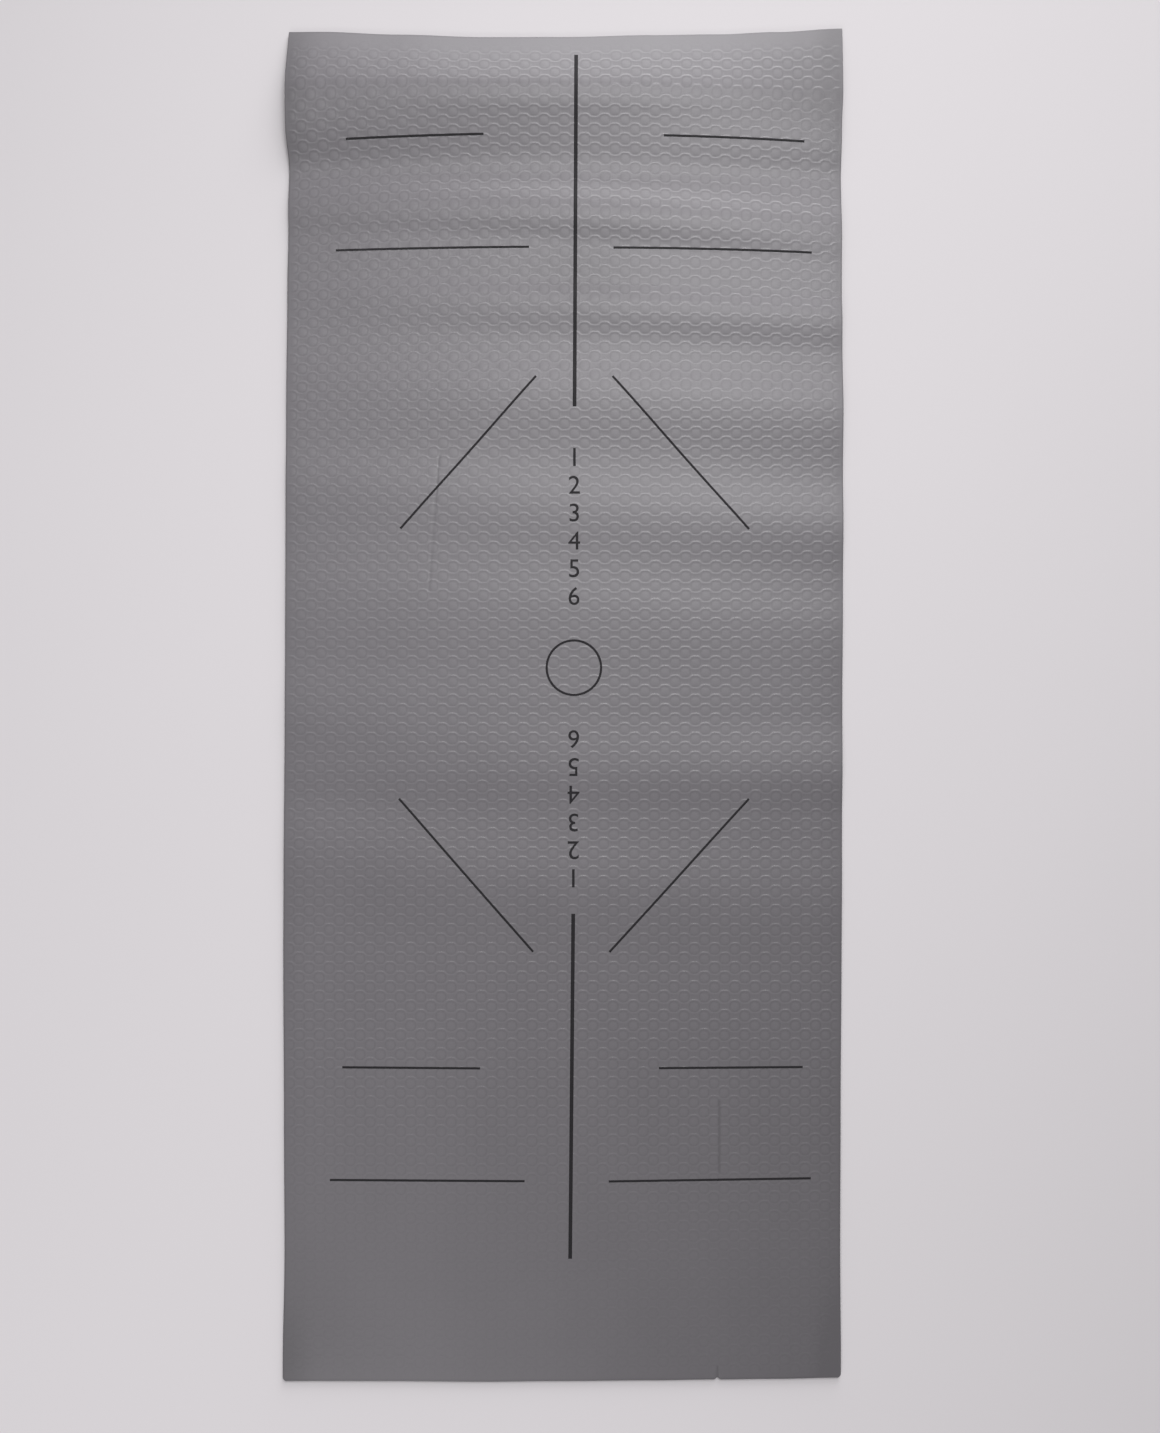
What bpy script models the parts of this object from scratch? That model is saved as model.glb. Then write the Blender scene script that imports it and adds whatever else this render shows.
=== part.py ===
"""Yoga mat lying unrolled on the floor: two bonded foam layers and the printed marks on them.

Metres, +Z up. The origin is on the floor, under the middle of the mat. +Y points to the head end,
where the mat still curls from being rolled up, and +X points to the right with the head end away.
"""

import math

import bmesh
import bpy
import numpy as np
from mathutils import Vector

COLLECTION_NAME = "yoga_mat"

# The mat as it lies
MAT_LENGTH = 1.835
MAT_WIDTH = 0.760
CORNER_RADIUS = 0.005
TOP_LAYER_THICKNESS = 0.0030
BOTTOM_LAYER_THICKNESS = 0.0027
BOND_GAP = 0.0003

# The head end was the core of the roll, so it arches up and stands on its cut edge
HUMP_LENGTH = 0.190
HUMP_HEIGHT = 0.020
HUMP_CREST_SHARE = 0.45

# Each turn of the roll has left a low ripple, and each turn was longer than the one inside it
RIPPLE_HEIGHT = 0.0016
FIRST_TURN_LENGTH = 0.120
TURN_GROWTH = 0.0155
RIPPLE_COUNT = 7

# Printed marks
PRINT_OFFSET = 0.0145
PRINT_SKEW = math.radians(0.15)
PRINT_MIDDLE_SHARE = 0.0275
MARK_THICKNESS = 0.0004
MARK_GAP = 0.0003
CENTRE_LINE_WIDTH = 0.005
FINE_LINE_WIDTH = 0.003
HEAD_MARGIN = 0.0395
FOOT_MARGIN = 0.167
RING_RADIUS = 0.0385
RING_TO_NUMERALS = 0.0465
NUMERALS_TO_HEAD_LINE = 0.057
NUMERALS_TO_FOOT_LINE = 0.037
NUMERAL_HEIGHT = 0.0245
NUMERAL_SPACE = 0.0133
NUMERAL_COUNT = 6

# Cross lines: inner and outer end from the print's middle line as shares of the mat's width, and
# place along the mat from the middle of the ring as a share of the mat's length. Those at the head
# bow with the mat there: a bow is how far an outer end is bent towards the foot
SHORT_LINE_END_SHARES = (0.162, 0.410)
LONG_LINE_END_SHARES = (0.078, 0.425)
HEAD_SHORT_LINE_PLACE_SHARE = 0.3947
HEAD_LONG_LINE_PLACE_SHARE = 0.3124
FOOT_SHORT_LINE_PLACE_SHARE = -0.2961
FOOT_LONG_LINE_PLACE_SHARE = -0.3802
HEAD_SHORT_LINE_BOW = 0.0088
HEAD_LONG_LINE_BOW = 0.0059

# Slanted lines: inner and outer end, across as shares of the width and along of the length
DIAGONAL_ACROSS_SHARES = (0.069, 0.311)
HEAD_DIAGONAL_ALONG_SHARES = (0.2161, 0.1034)
FOOT_DIAGONAL_ALONG_SHARES = (-0.2101, -0.0974)

# How finely the shapes are divided
CORNER_STEPS = 5
HUMP_STEPS = 16
STEPS_PER_TURN = 8
RING_STEPS = 48
BOW_STEPS = 6
NUMERAL_CURVE_STEPS = 3
SAME_PLACE = 0.000001

MAT_THICKNESS = BOTTOM_LAYER_THICKNESS + BOND_GAP + TOP_LAYER_THICKNESS
TIP_SLOPE = 2 * HUMP_HEIGHT / (HUMP_CREST_SHARE * HUMP_LENGTH)
TIP_OVERHANG = MAT_THICKNESS * math.sin(math.atan(TIP_SLOPE))
UNDERSIDE_LENGTH = MAT_LENGTH - TIP_OVERHANG
HEAD_TIP_Y = MAT_LENGTH / 2 - TIP_OVERHANG
PRINT_MIDDLE_Y = MAT_LENGTH * PRINT_MIDDLE_SHARE

FOAM_GREY = (0.215, 0.205, 0.212, 1.0)
BASE_GREY = (0.120, 0.115, 0.120, 1.0)
INK_BLACK = (0.012, 0.011, 0.012, 1.0)


def remove_scene_objects():
    for old in list(bpy.data.objects):
        bpy.data.objects.remove(old, do_unlink=True)


def make_material(name, color, roughness, metallic=0.0):
    material = bpy.data.materials.new(name)
    material.use_nodes = True
    shader = material.node_tree.nodes["Principled BSDF"]
    shader.inputs["Base Color"].default_value = color
    shader.inputs["Roughness"].default_value = roughness
    shader.inputs["Metallic"].default_value = metallic
    material.diffuse_color = color
    return material


def ripple_distance(turns):
    """How far along the mat this many turns of the growing roll reach from the first crest."""
    return FIRST_TURN_LENGTH * turns + TURN_GROWTH * turns * (turns - 1) / 2


def hump(distance):
    """Height and slope of the raised head end, at a distance from the tip.

    It rises from the tip along a parabola to the crest and comes down along half a cosine wave.
    """
    crest = HUMP_CREST_SHARE * HUMP_LENGTH
    if distance < crest:
        left = 1 - distance / crest
        return HUMP_HEIGHT * (1 - left**2), 2 * HUMP_HEIGHT * left / crest
    turn = math.pi * (distance - crest) / (HUMP_LENGTH - crest)
    slope = -HUMP_HEIGHT / 2 * math.sin(turn) * math.pi / (HUMP_LENGTH - crest)
    return HUMP_HEIGHT / 2 * (1 + math.cos(turn)), slope


def ripple(turns):
    """Height and slope of the ripples, which fade towards the foot and touch the floor between crests."""
    fade = 1 - (turns + 0.5) / RIPPLE_COUNT
    length = FIRST_TURN_LENGTH + TURN_GROWTH * (turns - 0.5)
    height = RIPPLE_HEIGHT * fade * (1 + math.cos(2 * math.pi * turns)) / 2
    slope = -RIPPLE_HEIGHT * fade * math.pi * math.sin(2 * math.pi * turns) / length
    return height, slope


def corner_rows():
    """Distances from an end at which the quarter circle of a corner has its points."""
    angles = [math.pi / 2 * step / CORNER_STEPS for step in range(CORNER_STEPS + 1)]
    return [CORNER_RADIUS * (1 - math.cos(angle)) for angle in angles]


def profile_rows():
    """One row of points across the mat after another, from tip to foot: distance, height and slope."""
    corner = corner_rows()
    rows = [(distance, *hump(distance)) for distance in corner]
    for step in range(1, HUMP_STEPS):
        distance = CORNER_RADIUS + (HUMP_LENGTH - CORNER_RADIUS) * step / HUMP_STEPS
        rows.append((distance, *hump(distance)))
    foot_start = UNDERSIDE_LENGTH - CORNER_RADIUS
    for step in range(RIPPLE_COUNT * STEPS_PER_TURN + 1):
        turns = step / STEPS_PER_TURN - 0.5
        distance = HUMP_LENGTH + ripple_distance(turns) - ripple_distance(-0.5)
        if distance < foot_start - CORNER_RADIUS:
            rows.append((distance, *ripple(turns)))
    rows += [(UNDERSIDE_LENGTH - distance, 0.0, 0.0) for distance in reversed(corner)]
    return np.array(rows)


ROWS = profile_rows()
ROW_DISTANCES = ROWS[:, 0]


def half_width(distance):
    """Half the mat's width at a distance from the tip, drawn in at the rounded corners."""
    from_end = min(distance, UNDERSIDE_LENGTH - distance)
    missing = max(CORNER_RADIUS - max(from_end, 0.0), 0.0)
    return MAT_WIDTH / 2 - CORNER_RADIUS + math.sqrt(max(CORNER_RADIUS**2 - missing**2, 0.0))


def lie(plan, level):
    """Take a plan point to its place in the lying mat, at a level above the mat's underside.

    Each row of points is moved along the surface's normal there, and a point between two rows
    lies on the flat strip that joins them, so that solids at different levels stay parallel.
    """
    distances, heights, slopes = ROWS.T
    stretch = np.sqrt(1 + slopes**2)
    y_at_row = HEAD_TIP_Y - distances + level * slopes / stretch
    z_at_row = heights + level / stretch
    along = HEAD_TIP_Y - plan.y
    return Vector((plan.x, np.interp(along, distances, y_at_row), np.interp(along, distances, z_at_row)))


def thicken(mesh, low, high):
    """Make a flat plan outline a closed solid between two levels of the lying mat."""
    result = bmesh.ops.extrude_face_region(mesh, geom=mesh.faces[:])
    raised = {item for item in result["geom"] if isinstance(item, bmesh.types.BMVert)}
    for vertex in mesh.verts:
        vertex.co = lie(vertex.co, high if vertex in raised else low)
    bmesh.ops.recalc_face_normals(mesh, faces=mesh.faces[:])


def cut_at_rows(mesh):
    """Split a plan outline wherever a row of the layers' points crosses it."""
    ends = [HEAD_TIP_Y - vertex.co.y for vertex in mesh.verts]
    for distance in ROW_DISTANCES[(ROW_DISTANCES > min(ends)) & (ROW_DISTANCES < max(ends))]:
        bmesh.ops.bisect_plane(
            mesh,
            geom=mesh.verts[:] + mesh.edges[:] + mesh.faces[:],
            dist=SAME_PLACE,
            plane_co=Vector((0, HEAD_TIP_Y - distance, 0)),
            plane_no=Vector((0, 1, 0)),
        )


def add_object(name, mesh, material, collection):
    data = bpy.data.meshes.new(name)
    mesh.to_mesh(data)
    mesh.free()
    data.materials.append(material)
    piece = bpy.data.objects.new(name, data)
    collection.objects.link(piece)
    return piece


def add_layer(name, low, high, material, collection):
    """A foam layer: a grid of one strip across and one row for each row of the profile."""
    mesh = bmesh.new()
    last = len(ROWS) - 1
    bmesh.ops.create_grid(mesh, x_segments=1, y_segments=last, size=1.0)
    for vertex in mesh.verts:
        distance = ROW_DISTANCES[round((1 - vertex.co.y) / 2 * last)]
        vertex.co = Vector((vertex.co.x * half_width(distance), HEAD_TIP_Y - distance, 0))
    thicken(mesh, low, high)
    return add_object(name, mesh, material, collection)


def add_mark(name, mesh, material, collection):
    """A printed mark: a plan outline in the print's own frame, set in place and laid on the mat."""
    cos, sin = math.cos(PRINT_SKEW), math.sin(PRINT_SKEW)
    for vertex in mesh.verts:
        across, along = vertex.co.x, vertex.co.y
        x = PRINT_OFFSET + across * cos + along * sin
        y = PRINT_MIDDLE_Y - across * sin + along * cos
        vertex.co = Vector((x, y, 0))
    cut_at_rows(mesh)
    thicken(mesh, MAT_THICKNESS + MARK_GAP, MAT_THICKNESS + MARK_GAP + MARK_THICKNESS)
    return add_object(name, mesh, material, collection)


def line_outline(start, end, width, bow=0.0):
    """A stroke between two points of the print's frame.

    It bends towards the foot with the square of the distance from the middle line, by the bow at
    its end.
    """
    mesh = bmesh.new()
    bmesh.ops.create_grid(mesh, x_segments=BOW_STEPS if bow else 1, y_segments=1, size=1.0)
    middle = (Vector(start) + Vector(end)) / 2
    half = (Vector(end) - Vector(start)) / 2
    side = Vector((-half.y, half.x)).normalized() * width / 2
    for vertex in mesh.verts:
        place = middle + half * vertex.co.x + side * vertex.co.y
        bend = bow * (place.x / end[0]) ** 2 if bow else 0.0
        vertex.co = Vector((place.x, place.y - bend, 0))
    return mesh


def ring_outline(outer, inner):
    mesh = bmesh.new()
    edges = []
    for radius in (outer, inner):
        circle = bmesh.ops.create_circle(mesh, cap_ends=False, segments=RING_STEPS, radius=radius)
        edges += {edge for vertex in circle["verts"] for edge in vertex.link_edges}
    bmesh.ops.bridge_loops(mesh, edges=edges)
    return mesh


def numeral_outline(number, height, centre_y, turned):
    """A plain numeral, centred on the middle line, and turned round where the foot end reads it."""
    curve = bpy.data.curves.new("numeral", "FONT")
    curve.body = str(number)
    curve.resolution_u = NUMERAL_CURVE_STEPS
    text = bpy.data.objects.new("numeral", curve)
    bpy.context.scene.collection.objects.link(text)
    data = bpy.data.meshes.new_from_object(text.evaluated_get(bpy.context.evaluated_depsgraph_get()))
    mesh = bmesh.new()
    mesh.from_mesh(data)
    bpy.data.objects.remove(text, do_unlink=True)
    bpy.data.curves.remove(curve)
    bpy.data.meshes.remove(data)
    places = np.array([vertex.co for vertex in mesh.verts])
    low, high = places.min(axis=0), places.max(axis=0)
    scale = (-1 if turned else 1) * height / (high[1] - low[1])
    for vertex in mesh.verts:
        x = (vertex.co.x - (low[0] + high[0]) / 2) * scale
        y = (vertex.co.y - (low[1] + high[1]) / 2) * scale
        vertex.co = Vector((x, centre_y + y, 0))
    bmesh.ops.remove_doubles(mesh, verts=mesh.verts[:], dist=SAME_PLACE)
    return mesh


def add_foam_layers(collection):
    foam = make_material("embossed_foam", FOAM_GREY, 0.78)
    base = make_material("grip_foam", BASE_GREY, 0.85)
    add_layer("bottom_layer", 0.0, BOTTOM_LAYER_THICKNESS, base, collection)
    add_layer("top_layer", BOTTOM_LAYER_THICKNESS + BOND_GAP, MAT_THICKNESS, foam, collection)


def numeral_column():
    """Distances from the ring's middle to the middle of each numeral, and to the column's end."""
    first = RING_RADIUS + RING_TO_NUMERALS + NUMERAL_HEIGHT / 2
    pitch = NUMERAL_HEIGHT + NUMERAL_SPACE
    middles = [first + pitch * place for place in range(NUMERAL_COUNT)]
    return middles, middles[-1] + NUMERAL_HEIGHT / 2


def add_centre_marks(ink, collection):
    ring = ring_outline(RING_RADIUS, RING_RADIUS - FINE_LINE_WIDTH)
    add_mark("centre_ring", ring, ink, collection)
    middles, column_end = numeral_column()
    head_end = MAT_LENGTH / 2 - PRINT_MIDDLE_Y - HEAD_MARGIN
    foot_end = -MAT_LENGTH / 2 - PRINT_MIDDLE_Y + FOOT_MARGIN
    head_start = column_end + NUMERALS_TO_HEAD_LINE
    foot_start = -column_end - NUMERALS_TO_FOOT_LINE
    for end_name, start, end in (("head", head_start, head_end), ("foot", foot_start, foot_end)):
        line = line_outline((0, start), (0, end), CENTRE_LINE_WIDTH)
        add_mark(f"{end_name}_centre_line", line, ink, collection)
    for place, middle in enumerate(middles):
        number = NUMERAL_COUNT - place
        head = numeral_outline(number, NUMERAL_HEIGHT, middle, turned=False)
        add_mark(f"head_numeral_{number}", head, ink, collection)
        foot = numeral_outline(number, NUMERAL_HEIGHT, -middle, turned=True)
        add_mark(f"foot_numeral_{number}", foot, ink, collection)


def add_side_marks(ink, collection):
    """The cross lines and slanted lines, which lie alike on both sides of the middle line."""
    lines = {
        "head_short_line": (SHORT_LINE_END_SHARES, (HEAD_SHORT_LINE_PLACE_SHARE,) * 2, HEAD_SHORT_LINE_BOW),
        "head_long_line": (LONG_LINE_END_SHARES, (HEAD_LONG_LINE_PLACE_SHARE,) * 2, HEAD_LONG_LINE_BOW),
        "foot_short_line": (SHORT_LINE_END_SHARES, (FOOT_SHORT_LINE_PLACE_SHARE,) * 2, 0.0),
        "foot_long_line": (LONG_LINE_END_SHARES, (FOOT_LONG_LINE_PLACE_SHARE,) * 2, 0.0),
        "head_diagonal": (DIAGONAL_ACROSS_SHARES, HEAD_DIAGONAL_ALONG_SHARES, 0.0),
        "foot_diagonal": (DIAGONAL_ACROSS_SHARES, FOOT_DIAGONAL_ALONG_SHARES, 0.0),
    }
    for name, (across_shares, along_shares, bow) in lines.items():
        for side_name, side in (("left", -1), ("right", 1)):
            start, end = [
                (side * across * MAT_WIDTH, along * MAT_LENGTH)
                for across, along in zip(across_shares, along_shares)
            ]
            line = line_outline(start, end, FINE_LINE_WIDTH, bow)
            add_mark(f"{name}_{side_name}", line, ink, collection)


def main():
    remove_scene_objects()
    collection = bpy.data.collections.new(COLLECTION_NAME)
    bpy.context.scene.collection.children.link(collection)
    add_foam_layers(collection)
    ink = make_material("printed_ink", INK_BLACK, 0.7)
    add_centre_marks(ink, collection)
    add_side_marks(ink, collection)


main()
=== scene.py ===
"""Looks of a yoga mat: embossed foam, its grip base, the printed marks, a pale floor, light and camera."""

import math

import bmesh
import bpy
import numpy as np
from bpy.props import FloatProperty, FloatVectorProperty, PointerProperty
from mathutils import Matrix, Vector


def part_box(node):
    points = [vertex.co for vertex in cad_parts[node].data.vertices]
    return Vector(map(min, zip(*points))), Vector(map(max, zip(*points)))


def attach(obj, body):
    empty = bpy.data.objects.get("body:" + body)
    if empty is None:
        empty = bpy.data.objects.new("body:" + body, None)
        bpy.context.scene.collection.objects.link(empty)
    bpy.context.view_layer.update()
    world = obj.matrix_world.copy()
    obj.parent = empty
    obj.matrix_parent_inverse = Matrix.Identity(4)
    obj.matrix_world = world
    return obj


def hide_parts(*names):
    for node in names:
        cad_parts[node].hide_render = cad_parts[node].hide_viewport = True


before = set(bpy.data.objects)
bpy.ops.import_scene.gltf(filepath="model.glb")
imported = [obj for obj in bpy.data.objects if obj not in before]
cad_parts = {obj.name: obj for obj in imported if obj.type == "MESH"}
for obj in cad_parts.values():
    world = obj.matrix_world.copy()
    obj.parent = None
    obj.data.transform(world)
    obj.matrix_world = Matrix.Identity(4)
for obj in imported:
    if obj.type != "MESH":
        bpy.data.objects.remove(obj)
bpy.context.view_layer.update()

bl_info = {
    "name": "Yoga mat",
    "version": (1, 0, 0),
    "blender": (4, 5, 0),
    "location": "View3D > Sidebar > Yoga mat",
    "description": "Embossed foam mat with printed marks, lying on a pale floor",
    "category": "Add Mesh",
}

MM = 0.001
BASE_LOW, BASE_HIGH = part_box("bottom_layer")
TOP_LOW, TOP_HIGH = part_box("top_layer")
MAT_WIDTH = TOP_HIGH.x - TOP_LOW.x
FOOT_Y = TOP_LOW.y
TIP_Y = BASE_HIGH.y
CAD_GAP = 0.3 * MM        # between the solids of the two layers
HUMP_HEIGHT = BASE_HIGH.z - (TOP_LOW.z - CAD_GAP)


def millimetres(value, description):
    return FloatProperty(description=description, default=value * MM, unit="LENGTH")


def metres(value, description):
    return FloatProperty(description=description, default=value, unit="LENGTH")


def watts(value, description):
    return FloatProperty(description=description, default=value, unit="POWER")


def number(value, description, least=0.0):
    return FloatProperty(description=description, default=value, min=least)


def colour(value, description):
    form = {"subtype": "COLOR", "size": 3, "min": 0.0, "max": 1.0}
    return FloatVectorProperty(description=description, default=value, **form)


class MatSizes(bpy.types.PropertyGroup):
    """Sizes of the foam, its relief and the way it lies"""

    thickness: millimetres(6, "Both layers together")
    base_thickness: millimetres(2.7, "Lower layer alone")
    bond_gap: millimetres(0.08, "Height of the line between the layers")
    corner_radius: millimetres(1.5, "Rounding of the head corners in plan")
    foot_radius: millimetres(5.5, "Rounding of the foot corners in plan")
    edge_radius: millimetres(0.9, "Rounding of the upper edge")
    edge_bulge: millimetres(0.15, "How far each cut layer bulges")
    column_pitch: millimetres(13.8, "From one column of cells to the next")
    row_pitch: millimetres(13.0, "From one staggered row of cells to the next")
    wave_height: millimetres(2.1, "How far a ridge swings up and down")
    ridge_width: millimetres(0.85, "Half width of a ridge at a third of its height")
    ridge_height: millimetres(0.335, "Ridge above the pits")
    cell_height: millimetres(0.36, "Cell above the pits")
    shelf_height: millimetres(0.27, "Rim round a cell above the pits")
    groove_radius: millimetres(6.9, "Of the groove round a cell")
    groove_width: millimetres(0.9, "Half width at a third of its depth")
    stud_height: millimetres(0.26, "Small stud above the bottom of its pit")
    crease_width: millimetres(1.7, "Half width at a third of its depth")
    crease_depth: millimetres(0.34, "Below the face")
    nick_depth: millimetres(3.2, "Of the nick in the foot edge")
    plain_margin: millimetres(8, "Unembossed strip at the head end")
    arch_front: number(1.22, "Power that shapes the rise from the tip to the crest", 1.0)
    wave_share: number(1.0, "Height of the waves in the lying mat, as a share of the seen one")
    rib_pitch: millimetres(4.8, "From one rib of the underside to the next")
    rib_depth: millimetres(0.3, "Depth of the grooves in the underside")
    ink_height: millimetres(0.12, "Film of ink above the foam")
    fine_line: millimetres(3, "Width of the thin printed lines")
    centre_line: millimetres(5, "Width of the two middle lines")


class MatColours(bpy.types.PropertyGroup):
    """Colours of the foam, the print and the floor"""

    foam: colour((0.1415, 0.1335, 0.1450), "Upper layer")
    base: colour((0.105, 0.100, 0.106), "Lower layer")
    ink: colour((0.0165, 0.0155, 0.0175), "Printed marks")
    floor: colour((0.640, 0.615, 0.634), "Pale floor")


class StageSettings(bpy.types.PropertyGroup):
    """Camera and lights"""

    camera_height: metres(2.0, "Above the floor")
    camera_x: metres(0.0228, "From the mat's middle")
    camera_y: metres(-0.016, "From the mat's middle")
    frame_height: metres(1.9489, "Long side of the view, at the mat's face")
    key_power: watts(50.0, "Lamp above the head end")
    low_power: watts(126.0, "Wide low lamp beyond the head end")
    near_power: watts(7.0, "Small lamp just beyond the head end")
    fill_power: watts(37.0, "Soft lamp beyond the foot end")
    sky: number(0.22, "Strength of the even light all round")


# Curves

def smooth_through(stations, values, at):
    """A smooth curve through a few points: between two of them it follows a half cosine wave."""
    place = np.clip(np.interp(at, stations, np.arange(len(stations))), 0, len(stations) - 1)
    low = np.minimum(place.astype(int), len(stations) - 2)
    share = (1 - np.cos(np.pi * (place - low))) / 2
    values = np.asarray(values)
    return values[low] * (1 - share) + values[low + 1] * share


def ease(at):
    """Rises smoothly from 0 to 1 as its argument does: 3t^2 - 2t^3."""
    at = np.clip(at, 0.0, 1.0)
    return at * at * (3 - 2 * at)


# The mat as it lies

# How far the lying mat's edges stray from the straight ones, in millimetres, from photographed edges
SIDE_STATIONS = (-0.90, -0.74, -0.56, -0.34, -0.16, 0.00, 0.20, 0.40, 0.57, 0.68, 0.745, 0.795, 0.85, 0.905)
LEFT_STRAY = (-1.7, 0.8, 0.0, -0.9, 0.2, 1.5, 2.1, 3.1, 4.8, 6.5, 7.3, 4.4, 5.0, 6.6)
RIGHT_STRAY = (-2.2, -3.2, -2.6, -1.3, -0.7, -0.3, 0.5, 0.0, -1.9, -2.3, -2.5, -2.2, -0.7, -0.4)
END_STATIONS = (-0.38, -0.335, -0.23, -0.11, 0.00, 0.12, 0.21, 0.29, 0.38)
HEAD_STRAY = (-2.2, -2.0, -5.8, -9.2, -8.9, -6.2, -4.9, -1.5, 3.5)
FOOT_STRAY = (-2.9, -2.7, -2.8, -3.7, -2.7, -1.7, -0.6, 0.3, 2.0)

# How far in from the head edge and the foot edge their straying is felt, in metres
HEAD_REACH = 0.20
FOOT_REACH = 0.55

# The rows of the head half bow towards the foot at the sides: by how much, from which place along and
# over what length the bow grows, and over what length it goes again before the tip, in metres
ROW_BOW = 0.013
BOW_START = 0.30
BOW_GROWTH = 0.45
BOW_END = 0.11

# The arched head end: crest from the tip in millimetres, height as a share of the solid's, and length
# of the back slope in millimetres, each at the left edge, the middle and the right edge
ARCH_CREST = (70, 73, 79)
ARCH_HEIGHT = (1.00, 1.03, 0.47)
ARCH_BACK = (118, 108, 113)

# The waves behind it: the crest from the tip and the height, each at the left edge, the middle and
# the right edge, then the length of the front slope and of the back slope, all in millimetres
WAVES = (
    ((258, 258, 258), (0.0, 2.2, 5.2), 80, 600),
    ((258, 258, 258), (0.0, 3.8, 0.8), 80, 110),
    ((135, 155, 147), (2.0, 2.8, 3.1), 51, 49),
    ((225, 243, 267), (3.1, 5.4, 2.5), 47, 49),
    ((351, 367, 384), (0.0, 4.5, 4.1), 33, 58),
    ((482, 490, 513), (0.0, 4.1, 4.5), 58, 94),
    ((610, 646, 670), (1.2, 1.9, 3.6), 62, 74),
    ((762, 785, 811), (0.8, 1.0, 1.6), 60, 98),
    ((923, 934, 906), (1.6, 0.5, 0.1), 79, 66),
    ((990, 1003, 1007), (0.7, 2.2, 3.2), 80, 65),
    ((1115, 1164, 1181), (1.9, 2.5, 1.7), 91, 100),
)

# Creases in the upper face: where each starts and ends, in metres, and how much of it shows
CREASES = (
    (0.2146, -0.534, 0.2146, -0.642, 1.0),
    (-0.1703, 0.345, -0.1846, 0.150, 0.6),
    (0.2126, -0.894, 0.2126, -0.922, 0.9),
)
CREASE_END = 9 * MM

# The nick in the foot edge: its place, half width and how far it is felt
NICK_X = 0.2118
NICK_WIDTH = 2.4 * MM
NICK_REACH = 7 * MM

# Half widths of a cell, its shelf and a stud, as shares of the column pitch
CELL_WIDTH = 0.47
SHELF_WIDTH = 0.70
STUD_WIDTH = 0.12

# Along the mat: how much shorter half a cell is than half its shelf, half a stud and how far it stands
# ahead of its row, and a groove's width as a share of its length
CELL_INSET = 2 * MM
STUD_LENGTH = 1.5 * MM
STUD_AHEAD = 0.8 * MM
GROOVE_SQUEEZE = 0.95

# A crest is full over the cells and loses twice this share over the pits, a ridge's height follows it
# by this share, and a ridge is this many times wider on the side away from the head
CREST_SWING = 0.28
RIDGE_FOLLOWS = 0.4
RIDGE_TAIL = 3.0

# How much of the relief shows: the share at the foot end, and what is added further on, as share,
# starting place and length in metres
FOOT_RELIEF = 0.28
RELIEF_RISES = ((0.45, -0.80, 0.30), (0.27, 0.05, 0.45))

# Bare strips at the edges, and the lengths over which the relief grows beyond them
HEAD_FADE = 34 * MM
FOOT_STRIP = 4 * MM
FOOT_FADE = 8 * MM
SIDE_STRIP = 2 * MM
SIDE_FADE = 9 * MM

# Painted shade: the foam's colour is made darker on the rim and in a strip at the sides, more so beyond a
# place
# near each end: the widths, how dark the strip is and what the ends add, and where and over what length they
# do, in metres
SHADED_RIM = 4 * MM
SHADED_STRIP = 50 * MM
STRIP_SHADE = 0.3
END_SHADE = 0.9
SHADED_ENDS = ((0.70, 0.15), (-0.78, -0.12))

# Patches where the foam's colour is made darker as painted shade: middle and half lengths across and along,
# in metres, and strength
SHADE_PATCHES = (
    (0.345, 0.835, 0.085, 0.070, 1.0),
    (-0.370, -0.860, 0.095, 0.110, 0.9),
    (0.030, 0.590, 0.065, 0.055, 0.7),
)

# How far the ends of the printed lines stray from the straight ones, in whole millimetres, read
# from enlargements of the photo: x and y of the left or lower end, then of the right or upper end
LINE_STRAY = {
    "head_centre_line": (0, -1, 1, 0),
    "foot_centre_line": (-3, -3, 0, 1),
    "head_short_line_left": (1, 1, -1, 1),
    "head_short_line_right": (-3, 0, -1, 0),
    "head_long_line_left": (-2, -1, -3, -2),
    "head_long_line_right": (-7, -3, -2, -4),
    "head_diagonal_left": (0, -1, 0, -1),
    "head_diagonal_right": (-1, -1, 1, -1),
    "foot_diagonal_left": (-1, 0, -2, -1),
    "foot_diagonal_right": (-3, -1, 2, 1),
    "foot_short_line_left": (-2, -1, -3, -2),
    "foot_short_line_right": (-6, -1, 1, 1),
    "foot_long_line_left": (-7, 0, -6, -1),
    "foot_long_line_right": (-10, -1, 1, 4),
}


def over_width(values, side):
    """A parabola through three values, at the left edge (side -1), the middle and the right edge (1)."""
    left, middle, right = values
    return middle + (right - left) / 2 * side + ((right + left) / 2 - middle) * side**2


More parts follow.
